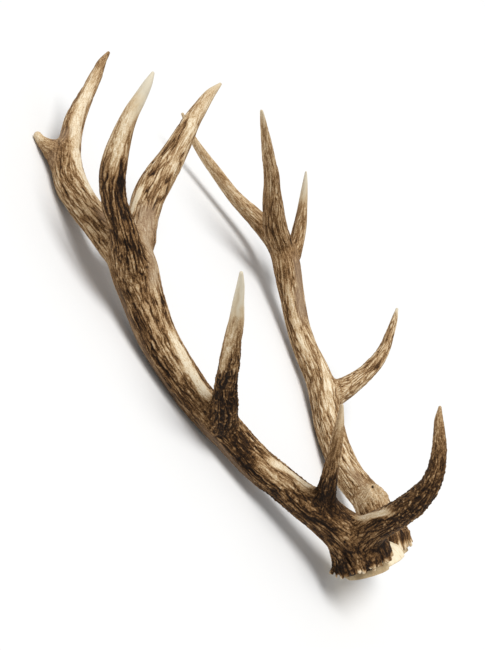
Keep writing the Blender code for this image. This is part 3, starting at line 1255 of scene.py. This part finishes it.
@dataclass(frozen=True)
class SkullPlate:
    """The piece of skull that joins the antlers: a low dome, two pedicles and one straight saw cut."""

    node: str = "skull_plate"
    centre: tuple = (0.0, 0.0, -28.0)
    half: tuple = (38.0, 62.0, 30.0)
    slope: float = 16.5
    saw_point: tuple = (0.0, 0.0, -26.0)
    pedicles: tuple = (
        ((6, -58, -6, 50), (8, -58, -16, 49), (11, -58, -28, 50), (14, -57, -40, 52)),
        ((2, 56, -13, 50), (4, 56, -20, 49), (7, 55, -28, 50), (10, 55, -40, 52)),
    )
    web: float = 5.0
    voxel: float = 1.4
    settle_rounds: int = 4
    least_slope: float = 0.15
    longest_step: float = 1.5
    suture_width: float = 1.6
    saw_size: float = 150.0
    sharp_angle: float = 45.0
    swell: float = 0.7
    swell_cell: tuple = (14.0, 14.0, 14.0)
    ripple: float = 0.35
    ripple_cell: tuple = (4.0, 4.0, 4.0)
    pit: float = 0.8
    pit_cell: tuple = (5.0, 5.0, 5.0)
    suture_depth: float = 0.9
    tone_dome: float = 0.92
    tone_by_antler: float = 0.34
    tone_suture: float = 0.35
    tone_sawn: float = 0.62
    antler_reach: tuple = (24.0, 44.0)
    antler_fray: float = 4.0
    sawn_reach: tuple = (0.6, 0.1)

    def sloped(self) -> np.ndarray:
        """Rows are the forward, left and up directions of the cut."""
        tilt = math.radians(self.slope)
        return np.array(
            (
                (math.cos(tilt), 0, math.sin(tilt)),
                (0.0, 1.0, 0.0),
                (-math.sin(tilt), 0, math.cos(tilt)),
            )
        )

    def dome(self, points: np.ndarray) -> tuple[np.ndarray, np.ndarray]:
        """Nearly the distance to an ellipsoid, (scaled length - 1) / its slope, and the way outwards."""
        axes = self.sloped()
        local = (points - self.centre) @ axes.T
        scaled = local / self.half
        reach = np.linalg.norm(scaled, axis=1)
        slope = scaled / np.array(self.half) / np.maximum(reach, 1e-6)[:, None]
        steep = np.linalg.norm(slope, axis=1)
        return (reach - 1) / steep, (slope / steep[:, None]) @ axes

    def suture(self, points: np.ndarray) -> np.ndarray:
        """1 on the wandering seam along the middle of the skull, 0 from its width away."""
        wiggle = 2.2 * noise(points, (4.0, 400.0, 4.0), 71)
        wiggle = wiggle + 2.0 * noise(points, (13.0, 400.0, 13.0), 72)
        return crease(points[:, 1] + wiggle, self.suture_width)

    def skin(self) -> tuple[np.ndarray, np.ndarray]:
        """Dome and pedicles run into each other, with the frontal suture and small pits carved in."""
        courses = [Course(Branch(f"pedicle_{n}", stations)) for n, stations in enumerate(self.pedicles)]
        turn, rise = np.meshgrid(np.linspace(0, math.tau, 49)[:-1], np.linspace(-1.45, 1.45, 25))
        ball = np.stack((np.cos(rise) * np.cos(turn), np.cos(rise) * np.sin(turn), np.sin(rise)), -1)
        rings = (ball * self.half) @ self.sloped() + self.centre
        parts = [closed_rings(rings, rings[[0, -1]].mean(axis=1))]
        parts += [course.rough_tube() for course in courses]
        points, quads = remeshed(parts, self.voxel)
        for _ in range(self.settle_rounds):
            distance, outward = self.dome(points)
            total = np.exp(-distance / self.web)
            push = total[:, None] * outward
            for course in courses:
                local = course.local(points)
                pull = np.exp(-local.distance / self.web)
                total += pull
                push += pull[:, None] * local.outward
            outward = push / total[:, None]
            slope = np.maximum((outward**2).sum(axis=1), self.least_slope)
            step = np.clip(-self.web * np.log(total) / slope, -self.longest_step, self.longest_step)
            points = points - step[:, None] * outward
        outward /= np.linalg.norm(outward, axis=1)[:, None]
        suture = self.suture(points)
        pits = smooth(0.45, 0.7, noise(points, self.pit_cell, 73))
        swell = self.swell * noise(points, self.swell_cell, 74)
        height = swell - self.suture_depth * suture - self.pit * pits
        height += self.ripple * noise(points, self.ripple_cell, 75)
        return points + height[:, None] * outward, quads

    def build(self) -> bpy.types.Object:
        """The skin cut off flat by the saw, with its tone and sawn numbers."""
        points, quads = self.skin()
        whole = placed("whole", mesh_of("whole", POSE.lay(points), quads.tolist()))
        corners = np.array([(x, y, z) for x in (-1, 1) for y in (-1, 1) for z in (-2, 0)])
        corners = corners * self.saw_size @ self.sloped() + self.saw_point
        faces = ((0, 1, 3, 2), (4, 6, 7, 5), (0, 4, 5, 1), (2, 3, 7, 6), (0, 2, 6, 4), (1, 5, 7, 3))
        saw = placed("saw", mesh_of("saw", POSE.lay(corners), faces))
        cut = whole.modifiers.new("cut", "BOOLEAN")
        cut.operation, cut.solver, cut.object = "DIFFERENCE", "EXACT", saw
        made = finished_mesh(whole)
        for thing in (whole, saw):
            bpy.data.objects.remove(thing)
        made.name = "skull_plate_bone"
        made.shade_smooth()
        made.set_sharp_from_angle(angle=math.radians(self.sharp_angle))
        self.paint(made)
        made.materials.clear()
        made.materials.append(BoneFinish().material())
        return placed("skull_plate_bone", made)

    def paint(self, mesh: bpy.types.Mesh) -> None:
        """Cream on the dome, dark olive along the suture and round the pedicles, where it is painted
        shade under the coronets, tan on the cut.

        The colour attribute holds the tone first, painted shade included, and then 1 where the bone is
        sawn.
        """
        turn = np.array(POSE.matrix().inverted())
        points = (points_of(mesh) @ turn[:3, :3].T + turn[:3, 3]) / MM
        suture = self.suture(points)
        # Painted shade: the bone darkens to olive round the pedicles, under the coronets.
        aside = np.abs(points[:, 1]) + self.antler_fray * noise(points, (9.0, 9.0, 9.0), 77)
        by_antler = smooth(*self.antler_reach, aside)
        sawn = smooth(*self.sawn_reach, (points - self.saw_point) @ self.sloped()[2])
        tone = self.tone_dome - self.tone_by_antler * by_antler - self.tone_suture * suture
        tone = tone * (1 - sawn) + sawn * self.tone_sawn
        spare = np.zeros((len(points), 2))
        give_numbers(mesh, WEAR_AND_SHADE, np.column_stack((np.clip(tone, 0, 1), sawn, spare)))


# --------------------------------------------------------------------------------------- the real sizes

RIGHT_BEAM = Branch(
    "right_beam",
    (
        (4, -58, -13, 56), (2, -59, -7, 72), (0, -60, 0, 75), (-3, -63, 8, 70), (-10, -70, 21, 59),
        (-24, -81, 38, 51), (-40, -94, 55, 46), (-60, -109, 74, 43), (-79, -126, 95, 42),
        (-97, -144, 115, 42), (-122, -171, 153, 42), (-139, -189, 179, 43), (-155, -206, 205, 43),
        (-170, -220, 234, 44), (-187, -234, 274, 46), (-201, -243, 320, 50), (-210, -248, 356, 52),
        (-216, -251, 378, 44),
    ),
    tone=(
        (0.0, 0.32), (0.06, 0.41), (0.12, 0.46), (0.20, 0.42), (0.40, 0.52), (0.50, 0.52),
        (0.60, 0.58), (0.70, 0.56), (0.80, 0.58), (0.92, 0.62), (1.0, 0.62),
    ),
    pearl=(
        (0.0, 0.0), (0.12, 0.1), (0.2, 0.3), (0.28, 0.65), (0.5, 0.4), (0.65, 0.2), (0.9, 0.2),
        (0.99, 0.0),
    ),
    groove=((0.0, 1.0), (0.93, 1.0), (1.0, 0.1)),
    patches=(
        # Partly the beam's own polish, partly a painted highlight: a cream streak along the edge that
        # faces the lamp.
        Patch(Mark.PALE, 286, 400, 150, 164, 6.5, 1.0),
        Patch(Mark.PALE, 104, 198, 190, 162, 5.2, 1.1),
        Patch(Mark.PALE, 145, 208, 136, 122, 7.0, 0.4),
        Patch(Mark.PALE, 112, 150, 163, 157, 4.5, 0.6),
        Patch(Mark.DARK, 4, 40, 35, 70, 16.0, 0.9),
        Patch(Mark.PALE, 440, 520, 165, 185, 12.0, 0.45),
        Patch(Mark.DARK, 180, 268, 70, 112, 15.0, 0.9),
        Patch(Mark.DARK, 60, 175, 102, 88, 6.0, 0.6),
        # Painted shade, partly the beam's own grey-brown: this patch and the next darken the beam along
        # its lower side, away from the lamp.
        Patch(Mark.DARK, 120, 300, 52, 60, 9.0, 0.5),
        Patch(Mark.DARK, 290, 480, 62, 68, 12.0, 0.8),
        Patch(Mark.DARK, 390, 460, 178, 186, 7.0, 0.5),
        # Painted shade, partly the beam's own grey-brown: these three grey and darken the beam along its
        # lower side.
        Patch(Mark.GREY, 185, 290, 42, 60, 9.0, 0.6),
        Patch(Mark.GREY, 300, 470, 38, 42, 10.0, 0.5),
        Patch(Mark.DARK, 310, 460, 36, 40, 12.0, 0.6),
        Patch(Mark.GREY, 445, 515, 160, 190, 11.0, 0.7),
    ),
    foot=True,
    seed=1,
)
RIGHT_BROW = Branch(
    "right_brow_tine",
    (
        (-6, -66, 16, 44), (10, -77, 29, 42), (27, -87, 42, 37), (57, -98, 61, 33),
        (81, -107, 80, 30), (97, -112, 97, 25), (108, -116, 124, 20), (110, -115, 140, 18),
        (110, -114, 158, 14), (109, -112, 175, 10), (110, -110, 189, 4),
    ),
    sunk=20.0,
    tone=((0.0, 0.40), (0.2, 0.40), (0.5, 0.38), (0.72, 0.38), (0.85, 0.5), (1.0, 0.62)),
    pearl=((0.0, 0.0), (0.2, 0.35), (0.35, 0.95), (0.6, 0.9), (0.8, 0.4), (0.92, 0.0)),
    groove=((0.0, 1.0), (0.25, 0.8), (0.6, 0.55), (0.9, 0.5), (1.0, 0.2)),
    ivory=(0.93, 1.35),
    patches=(Patch(Mark.PALE, 18, 92, -8, 62, 6.0, 1.15),),
    seed=2,
)
RIGHT_BEZ = Branch(
    "right_bez_tine",
    (
        (-38, -88, 48, 34), (-33, -97, 62, 30), (-29, -106, 76, 25), (-20, -122, 101, 21),
        (-9, -140, 127, 17), (0, -151, 152, 14), (6, -157, 176, 10), (9, -160, 193, 4),
    ),
    sunk=18.0,
    # Near black-brown low on the bez: its own dark root, darkened further as painted shade where it lies
    # over the beam.
    tone=((0.0, 0.34), (0.22, 0.12), (0.42, 0.26), (0.56, 0.54), (0.8, 0.58), (1.0, 0.66)),
    pearl=((0.0, 0.4), (0.2, 0.6), (0.5, 0.3), (0.7, 0.0)),
    groove=((0.0, 0.9), (0.6, 0.7), (0.85, 0.3), (1.0, 0.1)),
    ivory=(0.80, 1.15),
    seed=3,
)
RIGHT_TREZ = Branch(
    "right_trez_tine",
    (
        (-134, -184, 168, 34), (-124, -196, 176, 34), (-115, -209, 189, 31), (-102, -234, 225, 25),
        (-90, -251, 248, 23), (-79, -267, 271, 20), (-68, -282, 292, 17), (-59, -298, 313, 12),
        (-52, -309, 329, 8), (-47, -319, 341, 4),
    ),
    sunk=18.0,
    tone=(
        (0.0, 0.42), (0.12, 0.31), (0.35, 0.34), (0.46, 0.55), (0.58, 0.63), (0.75, 0.68), (1.0, 0.74),
    ),
    pearl=((0.0, 0.4), (0.15, 0.9), (0.38, 0.9), (0.55, 0.3), (0.75, 0.0)),
    groove=((0.0, 0.7), (0.5, 1.0), (0.7, 0.5), (0.9, 0.1), (1.0, 0.0)),
    ivory=(0.66, 0.92),
    patches=(
        Patch(Mark.DARK, 75, 165, 205, 225, 8.0, 0.8),
        Patch(Mark.PALE, 105, 170, 100, 120, 5.0, 0.4),
    ),
    seed=4,
)
RIGHT_REAR = Branch(
    "right_crown_rear_tine",
    (
        (-207, -247, 348, 42), (-224, -254, 374, 42), (-245, -258, 399, 38), (-274, -251, 428, 37),
        (-295, -241, 454, 38), (-306, -230, 478, 35), (-310, -217, 501, 28), (-314, -198, 533, 25),
        (-313, -184, 553, 22), (-311, -169, 573, 18), (-309, -154, 595, 15), (-308, -141, 614, 10),
        (-305, -130, 627, 4),
    ),
    sunk=40.0,
    tone=((0.0, 0.50), (0.2, 0.60), (0.38, 0.65), (0.6, 0.60), (0.8, 0.62), (0.92, 0.60), (1.0, 0.52)),
    pearl=((0.0, 0.1), (1.0, 0.0)),
    groove=((0.0, 1.0), (0.7, 0.8), (1.0, 0.4)),
    ivory=(0.99, 1.4),
    patches=(
        Patch(Mark.PALE, 80, 312, 205, 138, 8.0, 0.75),
        Patch(Mark.DARK, 110, 250, 92, 120, 5.0, 0.5),
        Patch(Mark.DARK, 250, 345, 95, 105, 4.0, 0.4),
        Patch(Mark.GREY, 160, 212, 75, 100, 9.0, 0.6),
        Patch(Mark.GREY, 20, 75, 150, 175, 12.0, 0.7),
    ),
    waver=0.5,
    seed=5,
)
RIGHT_SPUR = Branch(
    "right_crown_spur",
    (
        (-304, -231, 475, 24), (-315, -233, 486, 26), (-328, -236, 497, 19), (-337, -236, 505, 13),
        (-342, -236, 511, 10),
    ),
    sunk=8.0,
    tone=((0.0, 0.52), (0.6, 0.58), (0.8, 0.7), (1.0, 0.8)),
    groove=((0.0, 0.6), (0.7, 0.5), (0.9, 0.1)),
    ivory=(0.92, 1.3),
    seed=6,
)
RIGHT_FRONT = Branch(
    "right_crown_front_tine",
    (
        (-210, -246, 352, 42), (-213, -230, 376, 40), (-216, -212, 406, 37), (-216, -197, 435, 38),
        (-212, -180, 458, 37), (-204, -161, 483, 32), (-197, -141, 510, 27), (-192, -125, 534, 22),
        (-186, -110, 553, 18), (-180, -96, 571, 13), (-172, -83, 585, 4),
    ),
    sunk=40.0,
    tone=((0.0, 0.62), (0.35, 0.62), (0.6, 0.65), (0.78, 0.70), (0.9, 0.72), (1.0, 0.76)),
    pearl=((0.0, 0.15), (0.5, 0.0)),
    groove=((0.0, 1.0), (0.6, 1.05), (0.82, 0.6), (0.95, 0.2), (1.0, 0.1)),
    ivory=(0.86, 1.12),
    patches=(
        Patch(Mark.PALE, 56, 102, 62, 95, 4.0, 1.0),
        Patch(Mark.PALE, 120, 270, 150, 140, 6.0, 0.35),
        Patch(Mark.PALE, 10, 75, 122, 140, 12.0, 0.4),
        Patch(Mark.DARK, 90, 210, 105, 95, 5.0, 0.3),
        Patch(Mark.DARK, 60, 160, 190, 175, 6.0, 0.25),
        Patch(Mark.GREY, 15, 80, 130, 142, 14.0, 0.7),
    ),
    waver=0.5,
    seed=7,
)
RIGHT_OUTER = Branch(
    "right_crown_outer_tine",
    (
        (-192, -240, 285, 28), (-200, -246, 312, 32), (-206, -251, 340, 36), (-201, -274, 366, 36),
        (-200, -290, 393, 31), (-205, -298, 420, 29), (-204, -302, 454, 29), (-200, -302, 470, 27),
        (-195, -301, 486, 24), (-183, -298, 516, 17), (-174, -294, 533, 14), (-165, -291, 550, 9),
        (-161, -289, 559, 4),
    ),
    sunk=70.0,
    tone=(
        (0.0, 0.50), (0.19, 0.56), (0.35, 0.49), (0.53, 0.46), (0.63, 0.50), (0.71, 0.68), (1.0, 0.84),
    ),
    pearl=((0.0, 0.2), (0.35, 0.5), (0.55, 0.4), (0.68, 0.1), (0.84, 0.0)),
    groove=((0.0, 1.0), (0.6, 1.0), (0.74, 0.5), (0.88, 0.15), (1.0, 0.0)),
    ivory=(0.78, 0.99),
    patches=(
        Patch(Mark.DARK, 25, 186, 158, 128, 13.0, 0.55),
        Patch(Mark.DARK, 118, 193, 95, 105, 6.0, 0.45),
        Patch(Mark.DARK, 158, 258, 158, 172, 7.0, 0.8),
        Patch(Mark.PALE, 176, 258, 112, 118, 6.0, 0.5),
    ),
    waver=0.6,
    seed=8,
)
LEFT_BEAM = Branch(
    "left_beam",
    (
        (1, 56, -20, 54), (-1, 56, -14, 66), (-3, 58, -7, 70), (-7, 61, 3, 62), (-16, 72, 19, 54),
        (-31, 88, 38, 46), (-66, 111, 67, 42), (-91, 134, 97, 41), (-111, 159, 130, 43),
        (-124, 179, 159, 42), (-142, 203, 197, 41), (-170, 220, 244, 38), (-185, 230, 279, 37),
        (-195, 238, 315, 38), (-207, 247, 366, 42), (-213, 250, 388, 40),
    ),
    tone=((0.0, 0.44), (0.06, 0.5), (0.14, 0.72), (0.5, 0.69), (0.7, 0.71), (0.85, 0.62), (1.0, 0.52)),
    pearl=((0.0, 0.1), (0.1, 0.5), (0.3, 0.2), (0.5, 0.1), (0.95, 0.1), (1.0, 0.0)),
    groove=((0.0, 1.0), (0.3, 1.05), (0.93, 0.9), (1.0, 0.1)),
    patches=(
        Patch(Mark.GREY, 395, 500, 150, 162, 9.0, 0.8),
        Patch(Mark.GREY, 60, 130, 110, 120, 7.0, 0.4),
        Patch(Mark.PALE, 225, 335, 118, 165, 9.0, 0.5),
        Patch(Mark.PALE, 330, 470, 105, 100, 5.0, 0.5),
        Patch(Mark.DARK, 300, 480, 60, 55, 7.0, 0.5),
    ),
    waver=0.6,
    foot=True,
    seed=11,
)
LEFT_STUMP = Branch(
    "left_brow_stump",
    ((-31, 78, 22, 40), (-25, 76, 37, 40), (-19, 73, 48, 34), (-14, 71, 56, 27)),
    sunk=22.0,
    tone=((0.0, 0.72), (0.6, 0.75), (0.85, 0.80), (1.0, 0.88)),
    groove=((0.0, 0.6), (0.8, 0.4), (1.0, 0.0)),
    broken=5.5,
    seed=12,
)
LEFT_TREZ = Branch(
    "left_trez_tine",
    (
        (-127, 185, 166, 36), (-119, 203, 172, 36), (-110, 215, 178, 34), (-98, 228, 187, 30),
        (-80, 250, 205, 25), (-69, 265, 221, 22), (-61, 278, 239, 18), (-57, 291, 258, 15),
        (-53, 303, 278, 11), (-51, 316, 298, 4),
    ),
    sunk=20.0,
    tone=((0.0, 0.72), (0.3, 0.72), (0.6, 0.68), (0.8, 0.70), (1.0, 0.74)),
    pearl=((0.0, 0.2), (0.5, 0.4), (0.8, 0.0)),
    ivory=(0.84, 1.05),
    waver=0.5,
    seed=13,
)
LEFT_REAR = Branch(
    "left_crown_rear_tine",
    (
        (-208, 249, 372, 36), (-225, 260, 399, 36), (-250, 264, 427, 32), (-268, 251, 450, 27),
        (-287, 231, 475, 22), (-307, 198, 516, 18), (-317, 182, 536, 15), (-325, 166, 556, 11),
        (-331, 138, 593, 4),
    ),
    sunk=38.0,
    tone=((0.0, 0.52), (0.25, 0.62), (0.5, 0.72), (1.0, 0.72)),
    groove=((0.0, 1.0), (0.4, 0.6), (1.0, 0.2)),
    ivory=(0.9, 1.2),
    waver=0.4,
    seed=14,
)
LEFT_FRONT = Branch(
    "left_crown_front_tine",
    (
        (-211, 248, 376, 38), (-214, 236, 402, 38), (-214, 215, 428, 36), (-209, 194, 456, 31),
        (-204, 177, 477, 26), (-199, 163, 495, 24), (-195, 143, 517, 20), (-191, 125, 536, 16),
        (-188, 108, 555, 12), (-183, 85, 578, 4),
    ),
    sunk=38.0,
    tone=((0.0, 0.50), (0.4, 0.54), (0.7, 0.64), (1.0, 0.72)),
    groove=((0.0, 1.0), (0.8, 0.6), (1.0, 0.2)),
    ivory=(0.88, 1.1),
    waver=0.4,
    seed=15,
)
LEFT_OUTER = Branch(
    "left_crown_outer_tine",
    (
        (-207, 250, 362, 30), (-210, 276, 382, 29), (-208, 294, 406, 24), (-203, 298, 433, 21),
        (-199, 297, 456, 17), (-196, 296, 476, 13), (-193, 294, 495, 9), (-190, 291, 515, 3),
    ),
    sunk=38.0,
    tone=((0.0, 0.50), (0.4, 0.60), (0.7, 0.68), (1.0, 0.74)),
    groove=((0.0, 1.0), (0.8, 0.4), (1.0, 0.1)),
    ivory=(0.66, 0.98),
    waver=0.4,
    seed=16,
)

RIGHT_ANTLER = Antler(
    (RIGHT_BEAM, RIGHT_BROW, RIGHT_BEZ, RIGHT_TREZ, RIGHT_REAR, RIGHT_SPUR, RIGHT_FRONT, RIGHT_OUTER),
    Coronet(),
)
LEFT_ANTLER = Antler(
    (LEFT_BEAM, LEFT_STUMP, LEFT_TREZ, LEFT_REAR, LEFT_FRONT, LEFT_OUTER),
    Coronet(fingers=44, paleness=(0.3, 1.1), seed=9),
)


# ---------------------------------------------------------------------------------------------- studio


@dataclass(frozen=True)
class Studio:
    """A pale floor, one wide soft lamp overhead, an even white sky, and the camera.

    The camera's place and turns are in the deer's frame, in metres and degrees.
    """

    camera_at: tuple = (0.38732, -1.35833, 0.31166)
    heading: float = 22.64
    downward: float = 1.21
    roll: float = -0.504
    lens: float = 61.18
    sensor: float = 36.0
    floor_half: float = 60.0
    floor_colour: tuple = (0.80, 0.80, 0.795, 1.0)
    floor_roughness: float = 0.85
    sky: float = 0.52
    key_from: tuple = (-0.20, -0.26, 0.94)
    key_spread: float = 34.0
    key_power: float = 2.6

    SQUARE = ((-1, -1), (1, -1), (1, 1), (-1, 1))

    def camera(self) -> None:
        """Looks along heading and downward, then rolls about its own axis."""
        a, e, r = (math.radians(turn) for turn in (self.heading, self.downward, self.roll))
        ahead = np.array((-math.sin(a) * math.cos(e), math.cos(a) * math.cos(e), -math.sin(e)))
        level = np.array((math.cos(a), math.sin(a), 0.0))
        over = np.cross(level, ahead)
        right = math.cos(r) * level + math.sin(r) * over
        up = math.cos(r) * over - math.sin(r) * level
        place = np.eye(4)
        place[:3] = np.column_stack((right, up, -ahead, self.camera_at))
        data = bpy.data.cameras.new("camera")
        data.sensor_fit = "AUTO"
        data.sensor_width = self.sensor
        data.lens = self.lens
        data.clip_end = 200.0
        camera = placed("camera", data)
        camera.matrix_world = POSE.matrix() @ Matrix(place.tolist())
        bpy.context.scene.camera = camera

    def light(self) -> None:
        """A far, wide lamp: soft, and as strong all over the floor."""
        data = bpy.data.lights.new("key", "SUN")
        data.angle = math.radians(self.key_spread)
        data.energy = self.key_power
        placed("key", data).rotation_euler = Vector(self.key_from).to_track_quat("Z", "Y").to_euler()

    def floor(self, height: float) -> None:
        """A wide plain floor at the object's lowest point."""
        corners = [(x * self.floor_half, y * self.floor_half, height) for x, y in self.SQUARE]
        mesh = mesh_of("floor", corners, [(0, 1, 2, 3)])
        recipe = Recipe("floor")
        recipe.feed(recipe.shader, {"Base Color": self.floor_colour, "Roughness": self.floor_roughness})
        mesh.materials.append(recipe.material)
        floor = placed("floor", mesh)
        floor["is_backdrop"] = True

    def build(self, height: float) -> None:
        """Sets up sky, lamp, floor and camera; height is where the floor lies, in metres."""
        world = bpy.data.worlds.new("sky")
        world.use_nodes = True
        background = world.node_tree.nodes["Background"]
        background.inputs["Color"].default_value = (1.0, 1.0, 1.0, 1.0)
        background.inputs["Strength"].default_value = self.sky
        bpy.context.scene.world = world
        bpy.context.scene.view_settings.view_transform = "Standard"
        self.light()
        self.floor(height)
        self.camera()


def main() -> None:
    """Builds the antlers, the skull plate and the studio."""
    logging.basicConfig(level=logging.INFO, format="%(message)s")
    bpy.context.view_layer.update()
    for antler in (RIGHT_ANTLER, LEFT_ANTLER):
        for node, thing, finish in antler.parted():
            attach(thing, ROOT_BODY)
            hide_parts(node)
            log.info("%s: %d faces", thing.name, len(thing.data.polygons))
    plate = SkullPlate().build()
    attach(plate, ROOT_BODY)
    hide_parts("skull_plate")
    log.info("%s: %d faces", plate.name, len(plate.data.polygons))
    Studio().build(float(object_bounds()[0][2]))
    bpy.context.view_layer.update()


if __name__ == "__main__":
    main()
